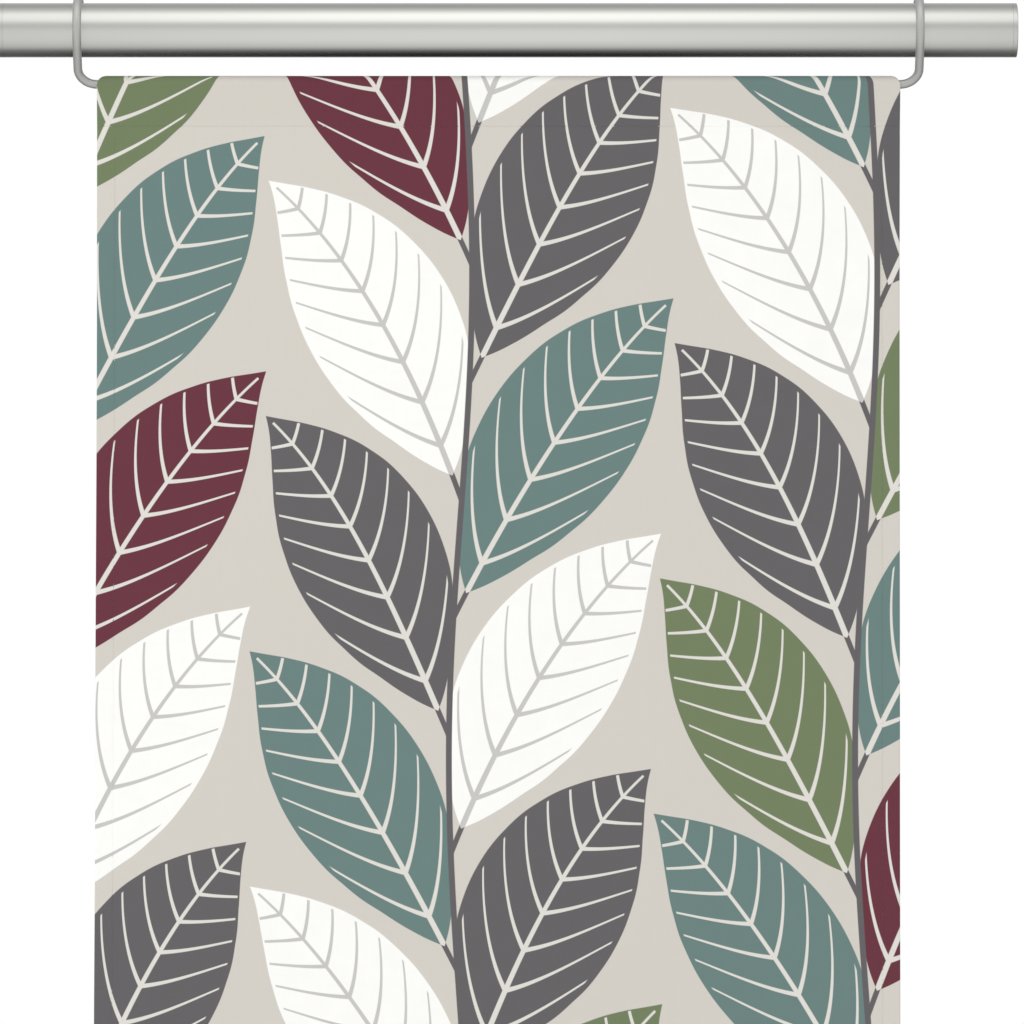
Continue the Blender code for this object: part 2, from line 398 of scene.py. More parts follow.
def vector(tree, x, y, z=0.0):
    node = tree.nodes.new("ShaderNodeCombineXYZ")
    for target, source in zip(node.inputs, (x, y, z)):
        join(target, source)
    return node.outputs[0]


def mix(tree, share_of_second, first, second):
    """One colour laid over another."""
    node = make(tree, "ShaderNodeMix", data_type="RGBA")
    for target, source in ((0, share_of_second), (6, first), (7, second)):
        join(node.inputs[target], source)
    return node.outputs[2]


def scaled(tree, tint, factor):
    """A colour times a Value."""
    node = make(tree, "ShaderNodeVectorMath", operation="SCALE")
    join(node.inputs[0], tint)
    join(node.inputs["Scale"], factor)
    return node.outputs[0]


def value_of(socket):
    """A colour read as one number."""
    node = make(socket.id_data, "ShaderNodeRGBToBW", {"Color": socket})
    return Value(node.outputs[0])


def noise(place, scale, detail):
    node = make(
        place.id_data,
        "ShaderNodeTexNoise",
        {"Vector": place, "Scale": scale, "Detail": detail, "Roughness": 0.5},
    )
    return Value(node.outputs[0])


def opaque(tint):
    return (*tint, 1.0)


def new_group(name, inputs, outputs):
    """An empty shader group and its input and output sockets. Rows: name, socket kind, default."""
    tree = bpy.data.node_groups.new(name, "ShaderNodeTree")
    for label, kind, default in inputs:
        socket = tree.interface.new_socket(label, in_out="INPUT", socket_type="NodeSocket" + kind)
        if default is not None:
            socket.default_value = default
    for label, kind in outputs:
        tree.interface.new_socket(label, in_out="OUTPUT", socket_type="NodeSocket" + kind)
    source = tree.nodes.new("NodeGroupInput")
    result = tree.nodes.new("NodeGroupOutput")
    return tree, source.outputs, result.inputs


def use_group(tree, group, inputs):
    """A group placed in a tree, with its inputs joined. Returns its outputs."""
    return make(tree, "ShaderNodeGroup", inputs, node_tree=group).outputs


def new_material(name, roughness, metallic=0.0, specular=0.5):
    """A material, its tree and its shader, with the constants set on the shader itself."""
    material = bpy.data.materials.new(name)
    material.use_nodes = True
    tree = material.node_tree
    shader = tree.nodes["Principled BSDF"]
    shader.inputs["Roughness"].default_value = roughness
    shader.inputs["Metallic"].default_value = metallic
    shader.inputs["Specular IOR Level"].default_value = specular
    return material, tree, shader


def arrange(tree):
    """Sets a tree's nodes out in columns, each to the left of what it feeds."""
    depth = {node.name: 0 for node in tree.nodes}
    for _ in range(len(tree.nodes)):
        moved = False
        for link in tree.links:
            wanted = depth[link.to_node.name] + 1
            if depth[link.from_node.name] < wanted:
                depth[link.from_node.name] = wanted
                moved = True
        if not moved:
            break
    filled = {}
    for node in tree.nodes:
        column = depth[node.name]
        node.location = (-220 * column, -190 * filled.get(column, 0))
        filled[column] = filled.get(column, 0) + 1


def colour_ramp(tree, position, stops, interpolation):
    """A colour looked up by a position from 0 to 1. Stops: position, colour."""
    node = make(tree, "ShaderNodeValToRGB", {"Fac": position})
    ramp = node.color_ramp
    ramp.interpolation = interpolation
    while len(ramp.elements) < len(stops):
        ramp.elements.new(len(ramp.elements) / len(stops))
    for element, (place, tint) in zip(ramp.elements, stops):
        element.position = place
        element.color = opaque(tint)
    return node.outputs["Color"]


def picked(tree, position, colours):
    """A colour picked from a list by a position from 0 to 1."""
    stops = [(i / len(colours), tint) for i, tint in enumerate(colours)]
    return colour_ramp(tree, position, stops, "CONSTANT")


# Groups that several materials use


def leaf_curve(tree, along):
    """The leaf's half width at a share of its length, as a share of its widest."""
    node = make(tree, "ShaderNodeFloatCurve", {"Value": along})
    points = node.mapping.curves[0].points
    while len(points) < len(LEAF_OUTLINE):
        points.new(0.5, 0.5)
    for point, place in zip(points, LEAF_OUTLINE):
        point.location = place
    node.mapping.update()
    return Value(node.outputs[0])


def limited(value, low, high):
    return math_node("MAXIMUM", math_node("MINIMUM", value, high), low)


def between(value, low, high):
    """1 where a value lies between two limits."""
    return (value > low) * (1 - (value > high))


def leaf_group(look):
    """One leaf with its veins, its stalk and a rim of bare ground, laid over what is under it.
    Out and Up are measured from where its midrib leaves the middle of its stem."""
    tree, given, made = new_group(
        "One leaf",
        (
            ("Under", "Color", None),
            ("Ink Under", "Float", 0.0),
            ("Out", "Float", 0.0),
            ("Up", "Float", 0.0),
            ("Pick", "Float", 0.0),
            ("Girth", "Float", 1.0),
            ("Leaf Width", "Float", look.leaf_width),
            ("Leaf Reach", "Float", look.leaf_reach),
            ("Veins", "Float", look.veins),
        ),
        (("Color", "Color"), ("Ink", "Float")),
    )
    ink, out, up, pick, girth, width, reach, veins = (Value(socket) for socket in list(given)[1:9])

    # The nearest place on the midrib or a little past its ends, closed in on in two steps
    near = math_node("MINIMUM", out, reach)
    for _ in range(2):
        slope = near * (2 * LEAF_BOW) + LEAF_RISE
        aside = out - near
        above = up - near * LEAF_RISE - near * near * LEAF_BOW
        near = near + (aside + above * slope) / (slope * slope + 1)
        near = limited(near, -0.01, reach + 0.02)
    slope = near * (2 * LEAF_BOW) + LEAF_RISE
    above = up - near * LEAF_RISE - near * near * LEAF_BOW
    beside = abs(above - slope * (out - near)) * math_node("INVERSE_SQRT", slope * slope + 1)
    along = (near - LEAF_FOOT) / (reach - LEAF_FOOT)

    # The leaf, and the bare rim that parts it from a leaf under it
    half = width * 0.5 * girth * leaf_curve(tree, limited(along, 0.0, 1.0))
    leaf = edge_mask(half - beside, INK_EDGE) * between(along, 0.0, 1.0)
    rim = edge_mask(half + LEAF_RIM - beside, INK_EDGE) * between(along, -0.02, 1.03)
    stalk = edge_mask(STALK_HALF - beside, INK_EDGE) * between(near, -0.002, LEAF_FOOT + 0.004)

    # A midrib, and side veins that curve forward and end inside the margin
    outward = beside / (width * 0.5)
    forward = outward * VEIN_LEAN + outward * outward * VEIN_BOW
    stroke = (along - forward) * veins + VEIN_START
    from_vein = abs(stroke - math_node("ROUND", stroke)) / veins * (reach - LEAF_FOOT) * VEIN_SPREAD
    side_vein = edge_mask(VEIN_HALF - outward * VEIN_TAPER - from_vein, INK_EDGE)
    side_vein = side_vein * edge_mask(half * VEIN_END - beside, INK_EDGE) * (1 - (along > VEIN_END))
    midrib = edge_mask(MIDRIB_HALF - along * MIDRIB_TAPER - beside, INK_EDGE)
    vein = math_node("MAXIMUM", side_vein, midrib * (1 - (along > MIDRIB_END)))

    leaf_colour = picked(tree, pick, [getattr(look, name) for name in LEAF_ORDER])
    on_white = picked(tree, pick, [(float(name == "white"),) * 3 for name in LEAF_ORDER])
    vein_colour = mix(tree, value_of(on_white), opaque(look.vein), opaque(look.white_vein))
    printed = mix(tree, rim, given["Under"], opaque(look.ground))
    printed = mix(tree, stalk, printed, opaque(look.grey))
    printed = mix(tree, leaf, printed, leaf_colour)
    join(made["Color"], mix(tree, leaf * vein, printed, vein_colour))
    inked = math_node("MAXIMUM", leaf * (1 - vein), stalk)
    join(made["Ink"], math_node("MAXIMUM", ink * (1 - rim), inked))
    arrange(tree)
    return tree


def print_group(look):
    """Climbing stems with veined leaves on alternate sides, as the colour of a place on the cloth."""
    tree, given, made = new_group(
        "Leaf print",
        (
            ("Place", "Vector", None),
            ("Stem Spacing", "Float", look.stem_spacing),
            ("Stem Start", "Float", look.stem_start),
            ("Leaf Spacing", "Float", look.leaf_spacing),
        ),
        (("Color", "Color"), ("Ink", "Float")),
    )
    across, up, _ = parts(given["Place"])
    spacing, start, lift = (Value(socket) for socket in list(given)[1:4])

    # Which stem a place is nearest to, how far out from it, and how high on that side's leaves
    swung = across - start + math_node("SINE", up * (math.tau / SWING_HEIGHT)) * STEM_SWING
    stem = math_node("ROUND", swung / spacing)
    off = swung - stem * spacing
    side = off > 0
    out = abs(off)
    level = up - lift * side * SIDE_LIFT - lift * stem * STEM_LIFT
    highest = math_node("FLOOR", (level + LEAF_DROP) / lift)

    # The two leaves that may reach a place, the lower one over the upper one
    leaf = leaf_group(look)
    leaf_turn, stem_turn, side_turn = LEAF_TURNS
    least, spread = LEAF_GIRTH
    printed, ink = opaque(look.ground), 0.0
    for below in range(2):
        number = highest - below
        seed = make(tree, "ShaderNodeTexWhiteNoise", {"Vector": vector(tree, stem, number, side)})
        turns = number * leaf_turn + stem * stem_turn + side * side_turn
        laid = use_group(
            tree,
            leaf,
            {
                "Under": printed,
                "Ink Under": ink,
                "Out": out,
                "Up": level - number * lift,
                "Pick": (turns % len(LEAF_ORDER) + 0.5) / len(LEAF_ORDER),
                "Girth": Value(seed.outputs["Value"]) * spread + least,
            },
        )
        printed, ink = laid["Color"], Value(laid["Ink"])
    stem_mask = edge_mask(STEM_HALF - out, INK_EDGE)
    join(made["Color"], mix(tree, stem_mask, printed, opaque(look.grey)))
    join(made["Ink"], math_node("MAXIMUM", ink, stem_mask))
    arrange(tree)
    return tree


def weave_group():
    """A plain weave: the height of its threads, and a tone with painted shade in the hollows between
    the threads and the yarn's own slubs.
    """
    tree, given, made = new_group(
        "Plain weave",
        (("Place", "Vector", None), ("Pitch", "Float", 0.0005)),
        (("Height", "Float"), ("Shade And Slubs", "Float")),
    )
    across, up, _ = parts(given["Place"])
    pitch = Value(given["Pitch"])
    column = across / pitch
    row = up / pitch
    warp = abs(math_node("SINE", column * math.pi))
    weft = abs(math_node("SINE", row * math.pi))
    over = (math_node("FLOOR", column) + math_node("FLOOR", row)) % 2
    warp_height = warp * (weft * THREAD_DIP + (1 - THREAD_DIP))
    weft_height = weft * (warp * THREAD_DIP + (1 - THREAD_DIP))
    threads = warp_height * over + weft_height * (1 - over)
    slub_down = noise(vector(tree, column, up * SLUBS), 1.0, detail=1.0)
    slub_over = noise(vector(tree, across * SLUBS, row), 1.0, detail=1.0)
    slubs = slub_down + slub_over - 1
    join(made["Height"], threads)
    # Painted shade: the colour darkens where the threads dip into the weave's hollows; the slubs are
    # the yarn's own tone
    join(made["Shade And Slubs"], threads * 0.035 + slubs * 0.022 + 0.98)
    arrange(tree)
    return tree


def grain_group():
    """Fine streaks along a metal piece. Place runs along the grain in X, in metres."""
    tree, given, made = new_group(
        "Metal grain",
        (("Place", "Vector", None), ("Length", "Float", 0.05), ("Width", "Float", 0.0003)),
        (("Streaks", "Float"), ("Smears", "Float")),
    )
    along, across, depth = parts(given["Place"])
    length, width = Value(given["Length"]), Value(given["Width"])
    fine = noise(vector(tree, along / length, across / width, depth / width), 1.0, detail=3.0)
    broad = noise(given["Place"], 22.0, detail=3.0)
    join(made["Streaks"], fine)
    join(made["Smears"], broad)
    arrange(tree)
    return tree


def shared_group(name, builder):
    """A group that is built the first time it is asked for."""
    return bpy.data.node_groups.get(name) or builder()


# Materials


def uv_place(tree, name):
    return make(tree, "ShaderNodeUVMap", uv_map=name).outputs[0]


def object_place(tree):
    return tree.nodes.new("ShaderNodeTexCoord").outputs["Object"]


def bump(shader, height, distance):
    """A Bump node that feeds a shader's normal."""
    node = make(shader.id_data, "ShaderNodeBump", {"Distance": distance, "Height": height})
    join(shader.inputs["Normal"], node.outputs[0])


def print_at(tree, place, look):
    """The print's colour and ink at a flat place on the cloth."""
    group = shared_group("Leaf print", lambda: print_group(look))
    return use_group(tree, group, {"Place": place})


def cloth_material(name, cloth, look, bare_share):
    """Printed cloth. bare_share is how much of the print is hidden by bare cloth, as on its back."""
    material, tree, shader = new_material(name, cloth.roughness, specular=0.22)
    shader.inputs["Sheen Weight"].default_value = 0.06
    shader.inputs["Sheen Roughness"].default_value = 0.5
    place = uv_place(tree, "cloth")
    printed = print_at(tree, place, look)
    weave = use_group(
        tree, shared_group("Plain weave", weave_group), {"Place": place, "Pitch": cloth.weave_pitch}
    )
    tint = printed["Color"]
    if bare_share:
        tint = mix(tree, bare_share, tint, opaque(cloth.wrong_side))
    mottle = noise(place, 60.0, detail=3.0)
    # The weave's tone brings painted shade in the hollows between threads; the slubs and the ink's
    # mottle are the cloth's own tone
    tone = Value(weave["Shade And Slubs"]) + (mottle - 0.5) * (Value(printed["Ink"]) * 0.05 + 0.008)
    join(shader.inputs["Base Color"], scaled(tree, tint, tone))
    join(shader.inputs["Roughness"], Value(weave["Height"]) * -0.10 + (cloth.roughness + 0.05))
    bump(shader, weave["Height"], cloth.weave_relief)
    arrange(tree)
    return material


def thread_material(look):
    """Clear sewing thread, which takes the colour of the print under it."""
    material, tree, shader = new_material("clear thread", 0.32)
    place = attribute(tree, "cloth_place")["Vector"]
    printed = print_at(tree, place, look)
    fine = noise(object_place(tree), 4000.0, detail=1.0)
    join(shader.inputs["Base Color"], scaled(tree, printed["Color"], fine * 0.10 + 0.97))
    join(shader.inputs["Roughness"], fine * 0.12 + 0.28)
    arrange(tree)
    return material


def metal_material(
    name,
    tint,
    roughness,
    place_of,
    length=0.05,
    width=0.0003,
    metallic=1.0,
    dull=0.0,
    painted_dark=0.0,
):
    """Satin metal with fine streaks. place_of gives a place whose X runs along the grain.
    The last two arguments paint shade towards the rod's ends: how much metallic shine is taken off
    there, and how much darker the colour is, standing in for the studio light's reflections that fade
    there."""
    material, tree, shader = new_material(name, roughness, metallic=metallic)
    grain = use_group(
        tree,
        shared_group("Metal grain", grain_group),
        {"Place": place_of(tree), "Length": length, "Width": width},
    )
    streaks, smears = Value(grain["Streaks"]), Value(grain["Smears"])
    tone = streaks * 0.05 + smears * 0.03 + 0.96
    # Painted shade: towards the rod's ends the colour is darkened and the shine lessened, standing in
    # for the studio light's reflections that fade there
    if dull or painted_dark:
        outwards = parts(object_place(tree))[0] / ROD_ENDS[1]
        end_shade = outwards * outwards
        tone = tone * (1 - end_shade * painted_dark)
        join(shader.inputs["Metallic"], metallic - end_shade * dull)
    join(shader.inputs["Base Color"], scaled(tree, tint, tone))
    join(shader.inputs["Roughness"], streaks * 0.05 + smears * 0.06 + (roughness - 0.055))
    bump(shader, streaks, GRAIN_DEPTH)
    arrange(tree)
    return material


def ring_place(tree):
    """Rings about the rod's axis, as a turned face has: X along a ring, Y out from its middle."""
    _, across, up = parts(object_place(tree))
    around = math_node("ARCTAN2", up, across)
    return vector(tree, around * 0.01, math_node("SQRT", across * across + up * up))


def attribute(tree, name):
    return make(tree, "ShaderNodeAttribute", attribute_name=name).outputs


def wire_place(tree):
    """X along a wire, and its round section in Y and Z."""
    across, up, _ = parts(attribute(tree, "wire_section")["Vector"])
    along = Value(attribute(tree, "wire_along")["Fac"])
    return vector(tree, along, across * WIRE_RADIUS, up * WIRE_RADIUS)


# Meshes


def spaced(start, end, spacing):
    """Even places from start to end, no further apart than the spacing."""
    steps = math.ceil(abs(end - start) / spacing)
    return [start + (end - start) * i / steps for i in range(steps + 1)]


def finish_piece(item, slot, *nodes):
    """Every piece rides on the one body and stands for its solids, which are hidden. Its slot is not
    used.
    """
    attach(item, "root")
    if nodes:
        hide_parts(*nodes)


def new_item(name, mesh, *materials):
    for material in materials:
        mesh.materials.append(material)
    item = bpy.data.objects.new(name, mesh)
    bpy.context.scene.collection.objects.link(item)
    return item


def mesh_from(name, bm, sharp_angle=math.radians(35)):
    mesh = bpy.data.meshes.new(name)
    bm.normal_update()
    bm.to_mesh(mesh)
    bm.free()
    mesh.shade_smooth()
    mesh.set_sharp_from_angle(angle=sharp_angle)
    return mesh


def turned(name, profile, sides, closed, height=0.0):
    """A mesh turned about a level axis from (x, radius) points. A closed profile is a ring's."""
    bm = bmesh.new()
    angles = [math.tau * i / sides for i in range(sides)]
    rings = []
    for x, radius in profile:
        places = [(x, -radius * math.sin(a), height + radius * math.cos(a)) for a in angles]
        pole = radius == 0
        rings.append([bm.verts.new(places[0])] * sides if pole else [bm.verts.new(p) for p in places])
    pairs = list(zip(rings, rings[1:] + rings[:1]))
    for one, two in pairs if closed else pairs[:-1]:
        for corners in zip(one, one[1:] + one[:1], two[1:] + two[:1], two):
            bm.faces.new(dict.fromkeys(corners))
    bmesh.ops.recalc_face_normals(bm, faces=bm.faces)
    return mesh_from(name, bm)


def tube_profile(ends, outer, inner, edge):
    """A tube's wall with its cut ends eased by a small chamfer."""
    low, high = ends
    return (
        (low, inner + edge),
        (low, outer - edge),
        (low + edge, outer),
        (high - edge, outer),
        (high, outer - edge),
        (high, inner + edge),
        (high - edge, inner),
        (low + edge, inner),
    )


def line_mesh(name, lines, layer, kind):
    """A mesh of lines of edges. Each point of a line is (place, what the named layer holds there)."""
    bm = bmesh.new()
    held = getattr(bm.verts.layers, kind).new(layer)
    for line in lines:
        verts = [bm.verts.new(place) for place, _ in line]
        for vertex, (_, value) in zip(verts, line):
            vertex[held] = value
        for pair in zip(verts, verts[1:]):
            bm.edges.new(pair)
    mesh = bpy.data.meshes.new(name)
    bm.to_mesh(mesh)
    bm.free()
    return mesh


def geometry_tree(name, inputs):
    """An empty geometry tree and its inputs and output. Rows: name, socket kind, default."""
    tree = bpy.data.node_groups.new(name, "GeometryNodeTree")
    rows = (("Geometry", "Geometry", None), *inputs, ("Material", "Material", None))
    for label, kind, default in rows:
        socket = tree.interface.new_socket(label, in_out="INPUT", socket_type="NodeSocket" + kind)
        if default is not None:
            socket.default_value = default
    tree.interface.new_socket("Geometry", in_out="OUTPUT", socket_type="NodeSocketGeometry")
    given = tree.nodes.new("NodeGroupInput").outputs
    result = tree.nodes.new("NodeGroupOutput").inputs
    return tree, given, result


def finish_tree(tree, given, result, geometry):
    """Ends a geometry tree: real meshes, in the material that the tree is given."""
    solid = make(tree, "GeometryNodeRealizeInstances", {"Geometry": geometry})
    dressed = make(
        tree,
        "GeometryNodeSetMaterial",
        {"Geometry": solid.outputs[0], "Material": given["Material"]},
    )
    join(result["Geometry"], dressed.outputs[0])
    arrange(tree)
    return tree


def grown(name, mesh, tree, values):
    """An object with the plain mesh that a geometry tree makes of another mesh, with its values."""
    item = new_item(name, mesh)
    modifier = item.modifiers.new(tree.name, "NODES")
    modifier.node_group = tree
    for socket in tree.interface.items_tree:
        if socket.name in values:
            modifier[socket.identifier] = values[socket.name]
    graph = bpy.context.evaluated_depsgraph_get()
    made = bpy.data.meshes.new_from_object(
        item.evaluated_get(graph), preserve_all_data_layers=True, depsgraph=graph
    )
    item.modifiers.clear()
    item.data = made
    bpy.data.meshes.remove(mesh)
    made.name = name
    return item


# Rod


def cap_profile(face, side):
    """A flat end cap with a rounded edge and a skirt in the tube. face is its outer face's x."""
    seat = face - side * CAP_FLANGE
    skirt = ROD_RADIUS - ROD_WALL - GAP
    rounding = [
        (face - side * CAP_EDGE * (1 - math.cos(a)), ROD_RADIUS - CAP_EDGE * (1 - math.sin(a)))
        for a in (math.pi / 2 * i / 4 for i in range(5))
    ]
    return [
        (seat, 0.0),
        (seat, skirt - CAP_WALL),
        (seat - side * CAP_SKIRT, skirt - CAP_WALL),
        (seat - side * CAP_SKIRT, skirt - CAP_LEAD),
        (seat - side * (CAP_SKIRT - CAP_LEAD), skirt),
        (seat, skirt),
        (seat, ROD_RADIUS),
        *rounding[::-1],
        (face, 0.0),
    ]


def build_rod(metal):
    # Painted shade: both steels are drawn darker and less metallic towards the rod's ends, standing in
    # for the studio light's reflections fading there
    painted_end_shade = {"dull": metal.rod_painted_dull, "painted_dark": metal.rod_painted_shade}
    satin = metal_material("satin steel", metal.rod, metal.rod_roughness, object_place, **painted_end_shade)
    low, high = ROD_ENDS
    ends = (low - GAP + JOINT, high + GAP - JOINT)
    profile = tube_profile(ends, ROD_RADIUS, ROD_RADIUS - ROD_WALL, ROD_EASE)
    tube = turned("rod", profile, ROD_SIDES, closed=True)
    finish_piece(new_item("rod", tube, satin), "rod_steel", "rod_tube")
    cap_steel = metal_material(
        "turned steel", metal.rod, metal.rod_roughness + 0.04, ring_place, width=0.0002, **painted_end_shade
    )
    for side, face, node in zip((-1, 1), CAP_ENDS, ("rod_cap_left", "rod_cap_right")):
        name = node.replace("rod_cap", "rod_end")
        mesh = turned(name, cap_profile(face, side), ROD_SIDES, closed=False)
        finish_piece(new_item(name, mesh, cap_steel), "cap_steel", node)


# Heading bar


def build_bar(metal):
    alloy = metal_material("bar alloy", metal.bar, metal.bar_roughness, object_place)
    profile = tube_profile(BAR_ENDS, BAR_RADIUS, BAR_RADIUS - BAR_WALL, BAR_EASE)
    mesh = turned("tunnel_bar", profile, BAR_SIDES, closed=True, height=BAR_HEIGHT)
    item = new_item("tunnel_bar", mesh, alloy)
    item.visible_glossy = False
    finish_piece(item, "bar_metal", "heading_bar")


# Hooks


def hook_route(side):
    """The wire's centreline: round the rod from behind, down its front, and into the bar's end."""
    leave = math.pi - math.acos(HOOK_RADIUS / -BAR_HEIGHT)
    stand = side * (HALF_WIDTH + HOOK_BEND)
    inwards = Vector((-side, 0, 0))
    route = [
        Vector((stand, -HOOK_RADIUS * math.sin(a), HOOK_RADIUS * math.cos(a)))
        for a in spaced(-math.pi / 2 - HOOK_TAIL, leave, WIRE_STEP)
    ]
    corner = Vector((stand, 0, BAR_HEIGHT))
    down = (corner - route[-1]).normalized()
    centre = corner + HOOK_BEND * (inwards - down)
    route += [
        centre + HOOK_BEND * (down * math.sin(a) - inwards * math.cos(a))
        for a in spaced(0, math.pi / 2, WIRE_STEP)
    ]
    route.append(route[-1] + inwards * HOOK_REACH)
    return route


def with_cut_ends(route):
    """(point, share of the wire's radius) along a wire, with a small chamfer at both ends."""
    first = route[0] + (route[1] - route[0]).normalized() * WIRE_END
    last = route[-1] + (route[-2] - route[-1]).normalized() * WIRE_END
    slim = 1 - WIRE_END / WIRE_RADIUS
    full = [(point, 1.0) for point in (first, *route[1:-1], last)]
    return [(route[0], slim), *full, (route[-1], slim)]


def wire_tree():
    """A round wire with filled ends, swept along a line whose points carry its taper."""
    tree, given, result = geometry_tree(
        "Bent wire", (("Radius", "Float", 0.002), ("Sides", "Int", 16))
    )
    line = make(tree, "GeometryNodeMeshToCurve", {"Mesh": given["Geometry"]})
    length = tree.nodes.new("GeometryNodeSplineParameter").outputs["Length"]
    route = make(
        tree,
        "GeometryNodeStoreNamedAttribute",
        {"Geometry": line.outputs[0], "Name": "wire_along", "Value": length},
    )
    circle = make(
        tree, "GeometryNodeCurvePrimitiveCircle", {"Resolution": given["Sides"], "Radius": 1.0}
    )
    place = tree.nodes.new("GeometryNodeInputPosition").outputs[0]
    section = make(
        tree,
        "GeometryNodeStoreNamedAttribute",
        {"Geometry": circle.outputs["Curve"], "Name": "wire_section", "Value": place},
        data_type="FLOAT_VECTOR",
    )
    taper = make(tree, "GeometryNodeInputNamedAttribute", {"Name": "wire_taper"})
    swept = make(
        tree,
        "GeometryNodeCurveToMesh",
        {
            "Curve": route.outputs[0],
            "Profile Curve": section.outputs[0],
            "Scale": Value(taper.outputs["Attribute"]) * Value(given["Radius"]),
            "Fill Caps": True,
        },
    )
    return finish_tree(tree, given, result, swept.outputs[0])


def build_hooks(metal):
    drawn = metal_material(
        "drawn wire",
        metal.wire,
        metal.wire_roughness,
        wire_place,
        length=0.02,
        width=0.0004,
        metallic=metal.wire_metallic,
    )
    tree = wire_tree()
    values = {"Radius": WIRE_RADIUS, "Sides": WIRE_SIDES, "Material": drawn}
    for side, node in ((-1, "hook_left"), (1, "hook_right")):
        name = node.replace("hook", "wire_hook")
        line = line_mesh(name, [with_cut_ends(hook_route(side))], "wire_taper", "float")
        item = grown(name, line, tree, values)
        item.data.shade_smooth()
        item.data.set_sharp_from_angle(angle=math.radians(35))
        item.visible_glossy = False
        finish_piece(item, "hook_wire", node)


# Cloth


def smooth_step(value):
    value = min(1.0, max(0.0, value))
    return value * value * (3 - 2 * value)


def drift(height):
    """How far the left and the right side stray outwards at a height."""
    drop = -height
    if drop <= EDGE_DRIFT[0][0]:
        return EDGE_DRIFT[0][1:]
    for (high, *above), (low, *below) in zip(EDGE_DRIFT, EDGE_DRIFT[1:]):
        if drop <= low:
            blend = smooth_step((drop - high) / (low - high))
            return [a + (b - a) * blend for a, b in zip(above, below)]
    return EDGE_DRIFT[-1][1:]


def sway(x, height):
    """How far the hanging cloth stands behind its plane."""
    onset = smooth_step((PANEL_TOP - WAVE_HEAD - height) / WAVE_ONSET)
    return onset * sum(
        depth * math.sin(math.tau * (x / width + height / rise) + phase)
        for depth, width, rise, phase in WAVES
    )


def corner_inset(height):
    """How far the rounding of a top corner draws the side in."""
    above = height - (PANEL_TOP - CORNER_RADIUS)
    if above <= 0:
        return 0.0
    return CORNER_RADIUS - math.sqrt(max(CORNER_RADIUS**2 - above**2, 0.0))


def hung(x, y, height):
    """A point of the flat, square-cornered cloth, moved to where it hangs."""
    left, right = drift(height)
    rightness = x / PANEL_WIDTH + 0.5
    rim = smooth_step(1 - (HALF_WIDTH - abs(x)) / CORNER_BLEND)
    inset = math.copysign(corner_inset(height) * rim, x)
    stray = right * rightness - left * (1 - rightness)
    return Vector((x + stray - inset, y + sway(x, height), height))


def rim_share(distance, depth):
    """How full a rounded rim is at a distance in from its edge, from 0 to 1."""
    inside = min(max(distance / depth, 0.0), 1.0)
    return math.sqrt(1 - (1 - inside) ** 2)


def rim_places(depth, steps=5):
    """Distances in from a rounded rim's edge, and one more that keeps the flat beyond it flat."""
    rounding = [depth * (1 - math.cos(math.pi / 2 * i / steps)) for i in range(steps + 1)]
    return [*rounding, depth * RIM_PAST]


def seam_places():
    """Distances from a seam's middle at which its groove needs points."""
    return [SEAM_REACH * step for step in (-1.0, -0.6, -0.3, 0.0, 0.3, 0.6, 1.0)]


def merged(places, closest=0.00006):
    """Sorted places, without those that nearly coincide."""
    kept = []
    for place in sorted(places):
        if not kept or place - kept[-1] > closest:
            kept.append(place)
    return kept


